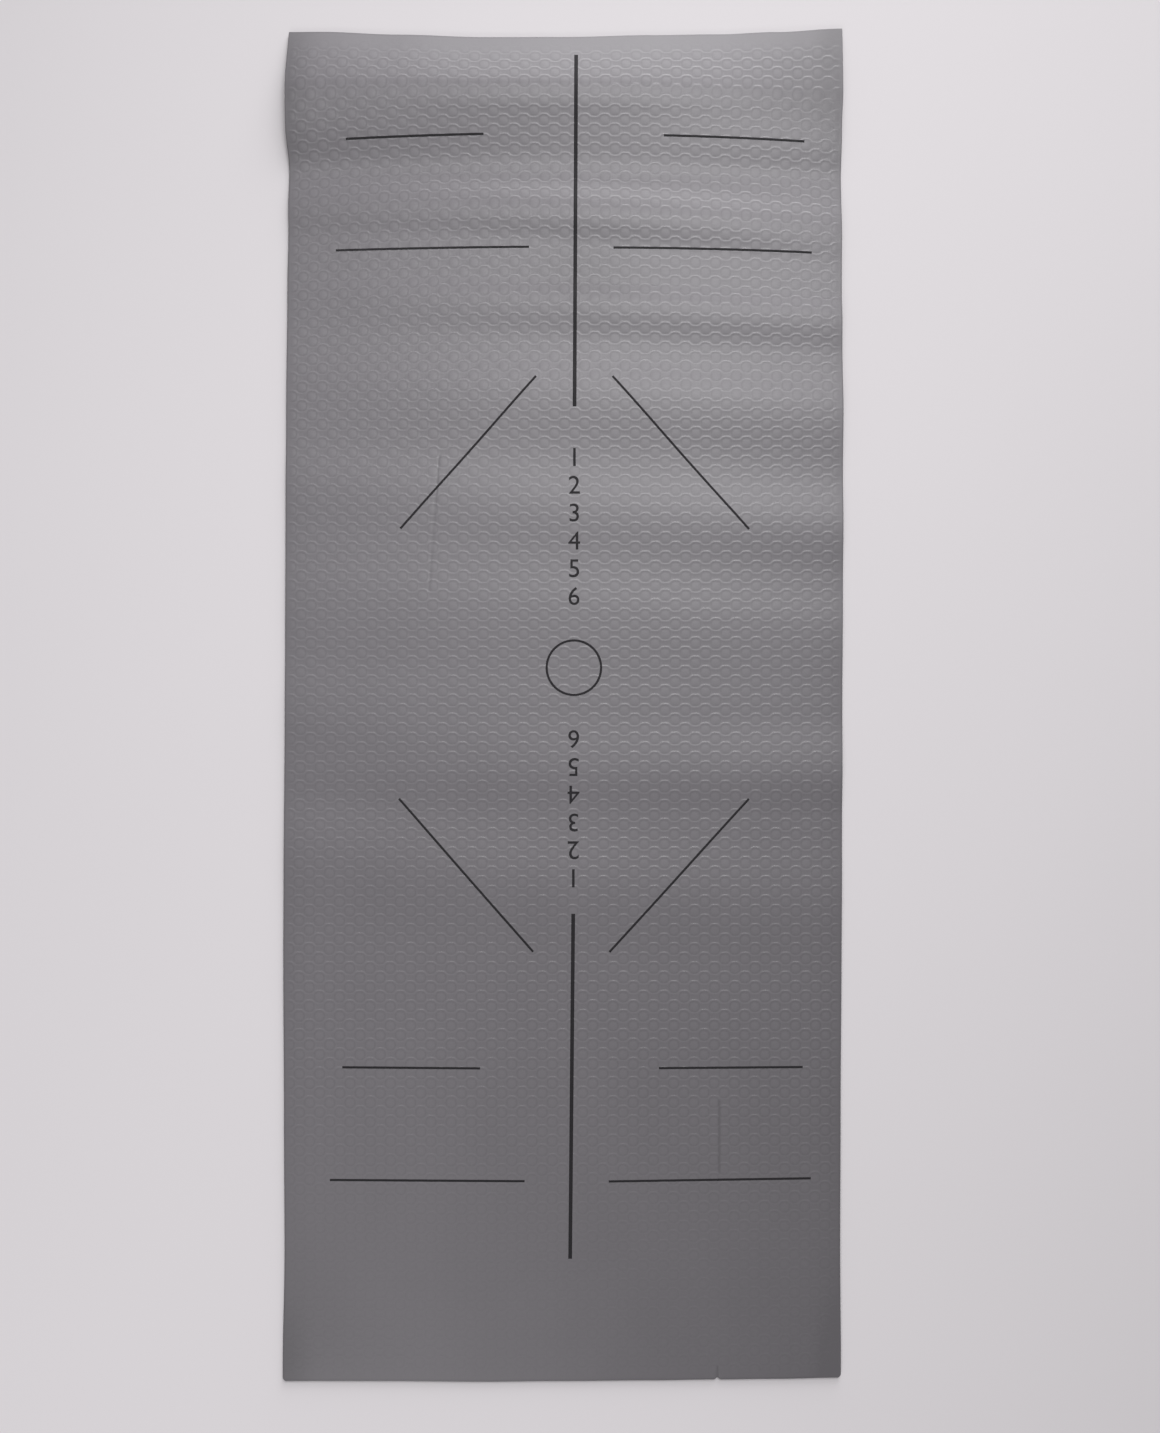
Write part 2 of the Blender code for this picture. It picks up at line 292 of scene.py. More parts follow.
class LyingMat:
    """The mat's shape as it lies.

    A place on the mat is across and along, in metres on the straight rectangle that the solids have.
    """

    def __init__(self, sizes):
        self.sizes = sizes
        self.half = MAT_WIDTH / 2
        along = np.linspace(FOOT_Y, TIP_Y, 4000)
        rise = np.diff(self.height(np.zeros_like(along), along))
        steps = np.hypot(np.diff(along), rise)
        self.table_along = along
        self.table_length = np.concatenate(([0.0], np.cumsum(steps)))
        self.full_length = self.table_length[-1]

    def arch(self, side, distance):
        """The arched head end: 1 - (1 - t)^p up from the tip to the crest and half a cosine wave down."""
        crest = over_width(ARCH_CREST, side) * MM
        beyond = (distance - crest) / (over_width(ARCH_BACK, side) * MM)
        up = 1 - np.clip(1 - distance / crest, 0, 1) ** self.sizes.arch_front
        down = (1 + np.cos(np.pi * np.clip(beyond, 0, 1))) / 2
        return HUMP_HEIGHT * over_width(ARCH_HEIGHT, side) * np.where(distance < crest, up, down)

    def waves(self, side, distance):
        """Low waves left by the turns of the roll, each a cosine bump with unlike front and back."""
        total = 0.0
        for crest, height, front, back in WAVES:
            beyond = distance / MM - over_width(crest, side)
            share = np.clip(np.where(beyond < 0, -beyond / front, beyond / back), 0, 1)
            total = total + np.maximum(over_width(height, side), 0) * (1 + np.cos(np.pi * share)) / 2
        return total * MM * self.sizes.wave_share

    def height(self, across, along):
        """Height of the underside above the floor."""
        side, distance = across / self.half, TIP_Y - along
        return self.arch(side, distance) + self.waves(side, distance)

    def plan(self, across, along):
        """Where a place on the straight rectangle lies in plan, drawn in and out at the edges."""
        left = smooth_through(SIDE_STATIONS, LEFT_STRAY, along) * MM
        right = smooth_through(SIDE_STATIONS, RIGHT_STRAY, along) * MM
        head = smooth_through(END_STATIONS, HEAD_STRAY, across) * MM
        foot = smooth_through(END_STATIONS, FOOT_STRAY, across) * MM
        side = across / MAT_WIDTH
        x = across + left * (0.5 - side) + right * (0.5 + side)
        from_tip, from_foot = TIP_Y - along, along - FOOT_Y
        y = along + head * ease(1 - from_tip / HEAD_REACH) + foot * ease(1 - from_foot / FOOT_REACH)
        bow = ROW_BOW * ease((along - BOW_START) / BOW_GROWTH) * ease(from_tip / BOW_END)
        nick = self.sizes.nick_depth * np.exp(-(((across - NICK_X) / NICK_WIDTH) ** 2))
        return x, y - bow * (across / self.half) ** 2 + nick * ease(1 - from_foot / NICK_REACH)

    def from_edge(self, across, along):
        """Distance of a place from the nearest edge of the straight rectangle."""
        return np.minimum(self.half - np.abs(across), np.minimum(TIP_Y - along, along - FOOT_Y))

    def corner(self, across, along):
        """Draws the ends of a row in, so that the corners are quarter circles in plan."""
        radius = np.where(along > 0, self.sizes.corner_radius, self.sizes.foot_radius)
        missing = np.clip(radius - np.minimum(TIP_Y - along, along - FOOT_Y), 0, radius)
        inset = radius - np.sqrt(radius**2 - missing**2)
        return across * (1 - inset / self.half)

    def surface(self, across, along, level):
        """Points at a level above the underside, moved along the surface's normal."""
        step = 0.5 * MM
        x, y = self.plan(across, along)
        z = self.height(across, along)
        slope_x = (self.height(across + step, along) - self.height(across - step, along)) / (2 * step)
        slope_y = (self.height(across, along + step) - self.height(across, along - step)) / (2 * step)
        stretch = np.sqrt(1 + slope_x**2 + slope_y**2)
        return np.stack(
            (x - level * slope_x / stretch, y - level * slope_y / stretch, z + level / stretch), axis=-1
        )

    def under(self, x, y, level):
        """The place on the mat that lies under a point in plan, found by three steps of correction."""
        across, along = x.copy(), y.copy()
        for _ in range(3):
            points = self.surface(across, along, np.full_like(x, level))
            across += x - points[..., 0]
            along += y - points[..., 1]
        return across, along

    def length_to(self, along):
        """Length along the foam from the foot edge."""
        return np.interp(along, self.table_along, self.table_length)

    def along_at(self, length):
        """The place along the mat at a length along the foam."""
        return np.interp(length, self.table_length, self.table_along)

    def wave(self, across, row):
        """How far a ridge swings: tanh of twice a cosine, flat over each cell and each pit between cells."""
        return np.tanh(2 * np.cos(np.pi * (across / self.sizes.column_pitch - row))) / np.tanh(2)

    def relief(self, across, along):
        """Height of the embossed pattern above the bottom of its pits, and its shares of ridge and groove.

        Cells stand in staggered rows, each a round plateau 1 - r^5 on a wide shelf 1 - u^6 - v^6 with
        a groove exp(-g^2) round it. A wavy ridge runs across the mat over each row, and goes over the
        cells and under the pits between them, where it is lower. Its section is exp(-d^4), drawn out
        on the side away from the head. A small bell-shaped stud stands in each pit. The share of ridge
        is the narrow crest alone. Creases are pressed into all this, and count as grooves.
        """
        sizes = self.sizes
        length = self.length_to(along)
        nearest = np.round(length / sizes.row_pitch)
        low = np.zeros_like(length)
        ridges = np.zeros_like(length)
        crests = np.zeros_like(length)
        grooves = np.zeros_like(length)
        half_cell = sizes.row_pitch / 2 + sizes.wave_height
        for step in (-1, 0, 1):
            row = nearest + step
            place = across / sizes.column_pitch - row
            from_cell = np.abs(place - 2 * np.round(place / 2))
            from_row = length - row * sizes.row_pitch
            plateau = 1 - np.hypot(from_cell / CELL_WIDTH, from_row / (half_cell - CELL_INSET)) ** 5
            shelf = 1 - (from_cell / SHELF_WIDTH) ** 6 - (from_row / half_cell) ** 6
            stud_side, stud_end = (1 - from_cell) / STUD_WIDTH, (from_row - STUD_AHEAD) / STUD_LENGTH
            stud = np.exp(-(stud_side**2) - stud_end**2)
            ring = np.hypot(from_cell * sizes.column_pitch, from_row * GROOVE_SQUEEZE) - sizes.groove_radius
            grooves = np.maximum(grooves, np.exp(-((ring / sizes.groove_width) ** 2)))
            for shape, height in (
                (plateau, sizes.cell_height), (shelf, sizes.shelf_height), (stud, sizes.stud_height)
            ):
                low = np.maximum(low, shape * height)
        step_across = 0.02 * sizes.column_pitch
        for step in (-2, -1, 0, 1):
            row = nearest + step
            swing = self.wave(across, row) * sizes.wave_height
            slope = (self.wave(across + step_across, row) * sizes.wave_height - swing) / step_across
            away = (length - sizes.row_pitch * (row + 0.5) - swing) / np.sqrt(1 + slope**2)
            over_cell = 1 - CREST_SWING + CREST_SWING * self.wave(across, row)
            crests = np.maximum(crests, np.exp(-((away / sizes.ridge_width) ** 4)) * over_cell)
            reach = np.where(away > 0, 1.0, RIDGE_TAIL) * sizes.ridge_width
            lowered = 1 - RIDGE_FOLLOWS + RIDGE_FOLLOWS * over_cell
            ridges = np.maximum(ridges, np.exp(-((away / reach) ** 4)) * lowered)
        grooves = grooves * (1 - crests)
        height = np.maximum(low * (1 - grooves / 2), ridges * sizes.ridge_height)
        depth, creases = self.depth(across, along), self.creases(across, along)
        return height * depth - creases * sizes.crease_depth, crests * depth, grooves * depth + creases

    def creases(self, across, along):
        """How much of a crease a place has: exp(-d^2) to the sides of its line, eased out at its ends."""
        total = 0.0
        for start_x, start_y, end_x, end_y, strength in CREASES:
            length = math.hypot(end_x - start_x, end_y - start_y)
            turn_x, turn_y = (end_x - start_x) / length, (end_y - start_y) / length
            run = (across - start_x) * turn_x + (along - start_y) * turn_y
            aside = (across - start_x) * turn_y - (along - start_y) * turn_x
            ends = ease(run / CREASE_END) * ease((length - run) / CREASE_END)
            total = total + strength * np.exp(-((aside / self.sizes.crease_width) ** 2)) * ends
        return total

    def dullness(self, across, along):
        """How much painted shade darkens the foam's colour: at the mat's sides, more so at its corners, on
        its rim and in patches.
        """
        from_side = self.half - np.abs(across)
        ends = sum(ease((along - start) / length) for start, length in SHADED_ENDS)
        strip = (1 - ease(from_side / SHADED_STRIP)) * (STRIP_SHADE + END_SHADE * ends)
        total = strip + 1 - ease(self.from_edge(across, along) / SHADED_RIM)
        for x, y, half_x, half_y, strength in SHADE_PATCHES:
            total = total + strength * np.exp(-(((across - x) / half_x) ** 2) - ((along - y) / half_y) ** 2)
        return total

    def depth(self, across, along):
        """Share of the relief that shows: none on the plain margin, less towards edges and foot."""
        share = FOOT_RELIEF
        for rise, start, length in RELIEF_RISES:
            share = share + rise * ease((along - start) / length)
        head = ease((TIP_Y - along - self.sizes.plain_margin) / HEAD_FADE)
        foot = ease((along - FOOT_Y - FOOT_STRIP) / FOOT_FADE)
        side = ease((self.half - np.abs(across) - SIDE_STRIP) / SIDE_FADE)
        return head * foot * side * share

    def top_level(self, across, along):
        """Level of the embossed face above the underside."""
        sizes = self.sizes
        return sizes.thickness - sizes.cell_height + self.relief(across, along)[0]


# Meshes

# The back of a sheet has every tenth row and every eighth column of its face, lies this far inside its
# edges, and keeps its first and last rows this far apart from the next
BACK_ROWS = 10
BACK_COLUMNS = 8
BACK_INSET = 6 * MM
BACK_STEP = 2 * MM

# The grid's lines are straight this far from each end, and follow the ridges after this much more
STRAIGHT_END = 12 * MM
STRAIGHT_FADE = 20 * MM


def grid_faces(index):
    """Quads of a grid of point numbers, facing the side from which columns run right and rows run up."""
    return np.stack((index[:-1, :-1], index[:-1, 1:], index[1:, 1:], index[1:, :-1]), axis=-1).reshape(-1, 4)


def rim(index):
    """Point numbers round a grid: along its first row, up its last column and back."""
    return np.concatenate((index[0, :-1], index[:-1, -1], index[-1, :0:-1], index[:0:-1, 0]))


def band(lower, upper):
    """Quads between two closed loops of point numbers of the same length."""
    return np.stack((lower, np.roll(lower, -1), np.roll(upper, -1), upper), axis=-1)


def zip_sides(fine, coarse, fine_shape, coarse_shape):
    """Triangles between a fine loop and a coarse one inside it, side by side of the two grids."""
    fine_rows, fine_columns = fine_shape
    coarse_rows, coarse_columns = coarse_shape
    fine_counts = (fine_columns - 1, fine_rows - 1, fine_columns - 1, fine_rows - 1)
    coarse_counts = (coarse_columns - 1, coarse_rows - 1, coarse_columns - 1, coarse_rows - 1)
    partners, done = [], 0
    for many, few in zip(fine_counts, coarse_counts):
        partners.append(done + np.round(np.arange(many) * few / many).astype(int))
        done += few
    partner = np.concatenate(partners)
    after = np.append(partner[1:], done)
    fans = np.stack((fine, np.roll(fine, -1), coarse[partner % done]), axis=-1)
    moved = after != partner
    steps = np.stack(
        (np.roll(fine, -1)[moved], coarse[after[moved] % done], coarse[partner[moved] % done]), axis=-1
    )
    return np.concatenate((fans, steps))


def make_piece(name, points, quads, triangles=None, shares=None):
    """A mesh object from whole arrays of points and faces, shaded smooth, with shares for its finish."""
    triangles = np.zeros((0, 3), int) if triangles is None else triangles
    mesh = bpy.data.meshes.new(name)
    corners = np.concatenate((quads.ravel(), triangles.ravel())).astype(np.int32)
    counts = np.concatenate((np.full(len(quads), 4), np.full(len(triangles), 3)))
    starts = np.concatenate(([0], np.cumsum(counts)[:-1])).astype(np.int32)
    mesh.vertices.add(len(points))
    mesh.loops.add(len(corners))
    mesh.polygons.add(len(counts))
    mesh.vertices.foreach_set("co", points.astype(np.float32).ravel())
    mesh.loops.foreach_set("vertex_index", corners)
    mesh.polygons.foreach_set("loop_start", starts)
    mesh.update(calc_edges=True)
    for key, share in (shares or {}).items():
        layer = mesh.attributes.new(key + "_share", "FLOAT", "POINT")
        layer.data.foreach_set("value", share.astype(np.float32))
    mesh.shade_smooth()
    if mesh.validate():
        raise RuntimeError(f"{name} has faces that Blender had to mend")
    piece = bpy.data.objects.new(name, mesh)
    bpy.context.scene.collection.objects.link(piece)
    return piece


def foam_sheet(name, mat, across, along, face_level, wall_levels, back_level, facing_up, shares):
    """A closed sheet of foam: a finely divided face, a cut edge in a few loops and a coarse back.

    across and along are grids of places for the fine face. The walls keep the plan of the face's rim
    and bulge outwards a little between its levels, and the back is a grid of some of the places.
    """
    rows, columns = across.shape
    drawn = mat.corner(across, along)
    parts = [mat.surface(drawn, along, face_level).reshape(-1, 3)]
    index = np.arange(rows * columns).reshape(rows, columns)
    ring = rim(index)
    ring_across, ring_along = drawn.ravel()[ring], along.ravel()[ring]
    outward = np.zeros((len(ring), 2))
    outward[:, 0] = (ring % columns == columns - 1).astype(float) - (ring % columns == 0)
    outward[:, 1] = (ring // columns == rows - 1).astype(float) - (ring // columns == 0)
    quads = [grid_faces(index)]
    count = rows * columns
    last = ring
    for level, bulge in wall_levels:
        moved_across = ring_across + outward[:, 0] * bulge
        moved_along = ring_along + outward[:, 1] * bulge
        parts.append(mat.surface(moved_across, moved_along, np.full(len(ring), level)))
        loop = np.arange(count, count + len(ring))
        quads.append(band(loop, last))
        count += len(ring)
        last = loop
    row_picks = np.unique(np.append(np.arange(0, rows, BACK_ROWS), rows - 1))
    column_picks = np.unique(np.append(np.arange(0, columns, BACK_COLUMNS), columns - 1))
    back_across = drawn[np.ix_(row_picks, column_picks)] * (1 - BACK_INSET / mat.half)
    back_along = along[np.ix_(row_picks, column_picks)]
    back_along = np.clip(back_along, FOOT_Y + BACK_INSET, TIP_Y - BACK_INSET)
    back_along[1] = np.maximum(back_along[1], back_along[0] + BACK_STEP)
    back_along[-2] = np.minimum(back_along[-2], back_along[-1] - BACK_STEP)
    parts.append(mat.surface(back_across, back_along, np.full_like(back_across, back_level)).reshape(-1, 3))
    back = np.arange(count, count + back_across.size).reshape(back_across.shape)
    triangles = zip_sides(last, rim(back), index.shape, back.shape)[:, ::-1]
    quads.append(grid_faces(back)[:, ::-1])
    quads = np.concatenate(quads)
    if not facing_up:
        quads, triangles = quads[:, ::-1], triangles[:, ::-1]
    points = np.concatenate(parts)
    rest = np.zeros(len(points) - rows * columns)
    values = {key: np.concatenate((share.ravel(), rest)) for key, share in shares.items()}
    return make_piece(name, points, quads, triangles, values)


def edge_steps(radius):
    """Distances from an edge at which its rounding has points, and a few more beyond it."""
    turns = np.linspace(0, np.pi / 2, 5)
    return np.concatenate((radius * (1 - np.sin(turns))[::-1], (1.6 * MM, 2.6 * MM, 4.0 * MM)))


def edge_drop(radius, distance):
    """How far a rounded edge falls below the face: a quarter circle."""
    missing = np.clip(radius - distance, 0, radius)
    return radius - np.sqrt(radius**2 - missing**2)


def column_places(mat):
    """Places across the mat: denser where a column of cells has its sides, and at the mat's edges."""
    sizes = mat.sizes
    shares = np.array((-0.5, -0.44, -0.36, -0.24, -0.08, 0.08, 0.24, 0.36, 0.44))
    count = math.ceil(mat.half / sizes.column_pitch) + 1
    places = ((np.arange(-count, count + 1)[:, None] + shares) * sizes.column_pitch).ravel()
    edge = mat.half - edge_steps(sizes.edge_radius)
    inner = edge.min() - 0.8 * MM
    return np.concatenate((-edge, places[np.abs(places) < inner], edge[::-1]))


def row_grid(mat, places):
    """Grid of places along the mat whose lines follow the wavy ridges.

    Between the ridge below a row of cells and the one above it, lines change evenly from one wave
    to the other, and they run straight at the ends of the mat.
    """
    sizes = mat.sizes
    shares = np.array((-0.5, -0.46, -0.42, -0.36, -0.22, 0.0, 0.22, 0.36, 0.42, 0.46))
    count = int(mat.full_length / sizes.row_pitch)
    row = np.repeat(np.arange(0, count + 2), len(shares))[:, None]
    share = np.tile(shares, count + 2)[:, None]
    level = (row + share) * sizes.row_pitch
    from_end = np.minimum(level, mat.full_length - level)
    calm = ease((from_end - STRAIGHT_END) / STRAIGHT_FADE)
    length = level + 2 * share * sizes.wave_height * mat.wave(places[None, :], row) * calm
    edge = edge_steps(sizes.edge_radius)
    corner = np.array((1.0, 1.6, 3.0)) * MM
    ends = np.unique(np.round(np.concatenate((edge, corner + edge.max())), 7))
    inner = ends.max() + 1.5 * MM
    keep = (level[:, 0] > inner) & (level[:, 0] < mat.full_length - inner)
    along = mat.along_at(length[keep])
    foot = np.repeat((FOOT_Y + ends)[:, None], len(places), axis=1)
    head = np.repeat((TIP_Y - ends[::-1])[:, None], len(places), axis=1)
    return np.concatenate((foot, along, head))


class YOGAMAT_OT_top_layer(bpy.types.Operator):
    """Make the embossed upper layer of foam"""

    bl_idname = "yogamat.top_layer"
    bl_label = "Embossed top layer"

    def execute(self, context):
        sizes = context.scene.yoga_mat_sizes
        mat = LyingMat(sizes)
        places = column_places(mat)
        along = row_grid(mat, places)
        across = np.repeat(places[None, :], len(along), axis=0)
        height, ridges, grooves = mat.relief(across, along)
        drop = edge_drop(sizes.edge_radius, mat.from_edge(across, along))
        level = sizes.thickness - sizes.cell_height + height - drop
        bottom = sizes.base_thickness + sizes.bond_gap
        rim_level = sizes.thickness - sizes.cell_height - sizes.edge_radius
        walls = [
            (rim_level * 0.7 + bottom * 0.3, sizes.edge_bulge),
            (rim_level * 0.3 + bottom * 0.7, sizes.edge_bulge),
            (bottom, 0.0),
        ]
        # The shares set the foam's colour: cells and ridges paler as painted highlight, grooves and creases
        # darker as painted shade, and sides, corners, rim and patches darker as painted shade
        shares = {"height": height / sizes.cell_height, "ridge": ridges, "groove": grooves}
        shares["dull"] = mat.dullness(across, along)
        piece = foam_sheet("embossed_top", mat, across, along, level, walls, bottom, True, shares)
        piece.data.materials.append(embossed_foam_finish(context.scene.yoga_mat_colours))
        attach(piece, "root")
        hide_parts("top_layer")
        return {"FINISHED"}


# The ribs of the underside: the plain strip at each end, the rim without ribs and the width over which
# they deepen, how far they swing as a share of their pitch, and from one swing to the next
RIB_END = 6 * MM
RIB_RIM = 4 * MM
RIB_FADE = 6 * MM
RIB_SWING = 0.35
RIB_SWING_PITCH = 48 * MM


class YOGAMAT_OT_base_layer(bpy.types.Operator):
    """Make the lower layer of foam with its ribbed underside"""

    bl_idname = "yogamat.base_layer"
    bl_label = "Grip base"

    def execute(self, context):
        sizes = context.scene.yoga_mat_sizes
        mat = LyingMat(sizes)
        edge = np.array((0.0, 0.15, 0.6, 2.0)) * MM
        nick = NICK_X + np.array((-6, -4, -2, -1, 0, 1, 2, 6)) * MM
        inner = np.linspace(-1, 1, 63) * (mat.half - 8 * MM)
        places = np.sort(np.concatenate((-mat.half + edge, inner, nick, mat.half - edge)))
        rib_count = int((mat.full_length - 2 * RIB_END) / sizes.rib_pitch)
        rib = (np.arange(rib_count * 4) / 4) * sizes.rib_pitch + RIB_END
        ends = np.append(edge, RIB_RIM)
        lengths = np.unique(np.concatenate((ends, rib, mat.full_length - ends)))
        along = np.repeat(mat.along_at(lengths)[:, None], len(places), axis=1)
        across = np.repeat(places[None, :], len(along), axis=0)
        swing = RIB_SWING * np.cos(across * 2 * np.pi / RIB_SWING_PITCH)
        phase = (mat.length_to(along) - RIB_END) / sizes.rib_pitch + swing
        groove = (1 - np.cos(2 * np.pi * phase)) / 2
        level = sizes.rib_depth * groove * ease((mat.from_edge(across, along) - RIB_RIM) / RIB_FADE)
        top = sizes.base_thickness
        walls = [(top * 0.3, sizes.edge_bulge), (top * 0.75, sizes.edge_bulge), (top, 0.0)]
        piece = foam_sheet("grip_base", mat, across, along, level, walls, top, False, {"height": 1 - groove})
        piece.data.materials.append(grip_foam_finish(context.scene.yoga_mat_colours))
        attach(piece, "root")
        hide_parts("bottom_layer")
        return {"FINISHED"}


# Printed marks

# Spacing of the points of a line's film and of the grid that cuts a numeral, and points this close are
# one. A box this many times as long as wide holds a straight line, not a slanted one
INK_STEP = 1.1 * MM
INK_GRID = 1.2 * MM
WELD = 0.001 * MM
SLENDER = 8


def ink_points(mat, x, y, above):
    """Points in plan laid on the embossed face, at a height above it."""
    across, along = mat.under(x, y, mat.sizes.thickness)
    return mat.surface(across, along, mat.top_level(across, along) + above)


def ink_film(mat, x, y, closed=False):
    """Points and quads of a film of ink over a grid of plan points: its face, its back and its rim."""
    sizes = mat.sizes
    rows, columns = x.shape
    face = ink_points(mat, x, y, sizes.ink_height).reshape(-1, 3)
    back = ink_points(mat, x, y, -sizes.ink_height).reshape(-1, 3)
    index = np.arange(rows * columns).reshape(rows, columns)
    if closed:
        index = np.concatenate((index, index[:1]))
        under = index + rows * columns
        sides = [
            np.stack((index[:-1, end], index[1:, end], under[1:, end], under[:-1, end]), axis=-1)[:, ::turn]
            for end, turn in ((0, 1), (-1, -1))
        ]
    else:
        under = index + rows * columns
        ring = rim(index)
        sides = [band(ring + rows * columns, ring)]
    quads = np.concatenate([grid_faces(index), grid_faces(under)[:, ::-1], *sides])
    return np.concatenate((face, back)), quads


def finish_mark(piece, node, context):
    piece.data.materials.append(printed_ink_finish(context.scene.yoga_mat_colours))
    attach(piece, "root")
    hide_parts(node)


def line_mark(node, start, end, width, context):
    """A stroke of ink between two plan points: a grid along and across it.

    The head cross lines bow towards the foot with the square of the distance from the print's middle,
    and the others are straight.
    """
    mat = LyingMat(context.scene.yoga_mat_sizes)
    stray = np.array(LINE_STRAY[node]) * MM
    start, end = np.array(start) + stray[:2], np.array(end) + stray[2:]
    length = np.linalg.norm(end - start)
    direction = (end - start) / length
    side = np.array((-direction[1], direction[0]))
    steps = np.linspace(0, length, max(int(length / INK_STEP), 2))[:, None]
    sides = np.linspace(width / 2, -width / 2, 5)[None, :]
    x = start[0] + direction[0] * steps + side[0] * sides
    y = start[1] + direction[1] * steps + side[1] * sides
    if node.startswith("head") and "line" in node and "centre" not in node:
        middle = sum(corner.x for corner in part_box("centre_ring")) / 2
        place, first, last = x - middle, start[0] - middle, end[0] - middle
        straight = (place - first) / (last - first)
        bowed = (place**2 - first**2) / (last**2 - first**2)
        y = y + (end[1] - start[1]) * (bowed - straight)
    points, quads = ink_film(mat, x, y)
    finish_mark(make_piece(node + "_ink", points, quads), node, context)


def line_ends(node, width):
    """The two ends of a line's middle, from the box of its CAD node.

    A line that runs across falls to the right by the print's skew, but the head ones fall to their
    outer ends, and one that runs along leans right. A slanted line's box is wider than its middle
    line by its own width.
    """
    low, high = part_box(node)
    half = width / 2
    size = high - low
    if size.x > SLENDER * size.y:
        bowed_left = node.startswith("head") and node.endswith("left")
        left_y, right_y = (low.y, high.y) if bowed_left else (high.y, low.y)
        inset = -half if left_y > right_y else half
        return (low.x, left_y + inset), (high.x, right_y - inset)
    if size.y > SLENDER * size.x:
        return (low.x + half, low.y), (high.x - half, high.y)
    length = math.hypot(size.x, size.y)
    inset_x, inset_y = half * size.y / length, half * size.x / length
    left, right = low.x + inset_x, high.x - inset_x
    bottom, top = low.y + inset_y, high.y - inset_y
    rises = ("head" in node) == ("left" in node)
    return ((left, bottom), (right, top)) if rises else ((left, top), (right, bottom))


class YOGAMAT_OT_centre_lines(bpy.types.Operator):
    """Print the two lines along the middle"""

    bl_idname = "yogamat.centre_lines"
    bl_label = "Centre lines"

    def execute(self, context):
        width = context.scene.yoga_mat_sizes.centre_line
        for end in ("head", "foot"):
            node = f"{end}_centre_line"
            line_mark(node, *line_ends(node, width), width, context)
        return {"FINISHED"}


class YOGAMAT_OT_side_lines(bpy.types.Operator):
    """Print the cross lines and the slanted lines"""

    bl_idname = "yogamat.side_lines"
    bl_label = "Side lines"

    def execute(self, context):
        width = context.scene.yoga_mat_sizes.fine_line
        for end in ("head", "foot"):
            for kind in ("short_line", "long_line", "diagonal"):
                for side in ("left", "right"):
                    node = f"{end}_{kind}_{side}"
                    line_mark(node, *line_ends(node, width), width, context)
        return {"FINISHED"}


class YOGAMAT_OT_centre_ring(bpy.types.Operator):
    """Print the ring in the middle"""

    bl_idname = "yogamat.centre_ring"
    bl_label = "Centre ring"

    def execute(self, context):
        sizes = context.scene.yoga_mat_sizes
        low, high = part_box("centre_ring")
        outer = (high.x - low.x) / 2
        angle = np.linspace(0, 2 * np.pi, 240, endpoint=False)[:, None]
        radius = np.linspace(outer, outer - sizes.fine_line, 5)[None, :]
        x = (low.x + high.x) / 2 - radius * np.cos(angle)
        y = (low.y + high.y) / 2 + radius * np.sin(angle)
        points, quads = ink_film(LyingMat(sizes), x, y, closed=True)
        finish_mark(make_piece("centre_ring_ink", points, quads[:, ::-1]), "centre_ring", context)
        return {"FINISHED"}


def numeral_mark(node, context):
    """A plain numeral: built-in text made a flat mesh, cut into a fine grid and laid on the foam."""
    sizes = context.scene.yoga_mat_sizes
    low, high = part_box(node)
    curve = bpy.data.curves.new(node, "FONT")
    curve.body = node[-1]
    curve.resolution_u = 5
    text = bpy.data.objects.new(node + "_text", curve)
    context.scene.collection.objects.link(text)
    flat = bpy.data.meshes.new_from_object(text.evaluated_get(context.evaluated_depsgraph_get()))
    mesh = bmesh.new()
    mesh.from_mesh(flat)
    bpy.data.objects.remove(text, do_unlink=True)
    bpy.data.curves.remove(curve)
    bpy.data.meshes.remove(flat)
    places = np.array([vertex.co for vertex in mesh.verts])
    least, most = places.min(axis=0), places.max(axis=0)
    scale = (high.y - low.y) / (most[1] - least[1]) * (-1 if node.startswith("foot") else 1)
    middle = (low + high) / 2
    for vertex in mesh.verts:
        vertex.co.x = middle.x + (vertex.co.x - (least[0] + most[0]) / 2) * scale
        vertex.co.y = middle.y + (vertex.co.y - (least[1] + most[1]) / 2) * scale
    bmesh.ops.remove_doubles(mesh, verts=mesh.verts[:], dist=WELD)
    for axis, start, end in ((0, low.x, high.x), (1, low.y, high.y)):
        for place in np.arange(start + INK_GRID / 2, end, INK_GRID):
            normal = [float(axis == 0), float(axis == 1), 0.0]
            bmesh.ops.bisect_plane(
                mesh,
                geom=mesh.verts[:] + mesh.edges[:] + mesh.faces[:],
                dist=WELD,
                plane_co=[place * part for part in normal],
                plane_no=normal,
            )
    result = bmesh.ops.extrude_face_region(mesh, geom=mesh.faces[:])
    raised = {item for item in result["geom"] if isinstance(item, bmesh.types.BMVert)}
    mesh.verts.index_update()
    up = np.array([vertex in raised for vertex in mesh.verts])
    bmesh.ops.recalc_face_normals(mesh, faces=mesh.faces[:])
    data = bpy.data.meshes.new(node + "_ink")
    mesh.to_mesh(data)
    mesh.free()
    points = np.empty(len(data.vertices) * 3)
    data.vertices.foreach_get("co", points)
    points = points.reshape(-1, 3)
    above = np.where(up, sizes.ink_height, -sizes.ink_height)
    data.vertices.foreach_set("co", ink_points(LyingMat(sizes), points[:, 0], points[:, 1], above).ravel())
    data.update()
    piece = bpy.data.objects.new(node + "_ink", data)
    context.scene.collection.objects.link(piece)
    finish_mark(piece, node, context)


class YOGAMAT_OT_numerals(bpy.types.Operator):
    """Print the two columns of plain numerals"""

    bl_idname = "yogamat.numerals"
    bl_label = "Numerals"

    def execute(self, context):
        for node in sorted(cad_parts):
            if "_numeral_" in node:
                numeral_mark(node, context)
        return {"FINISHED"}


# Finishes

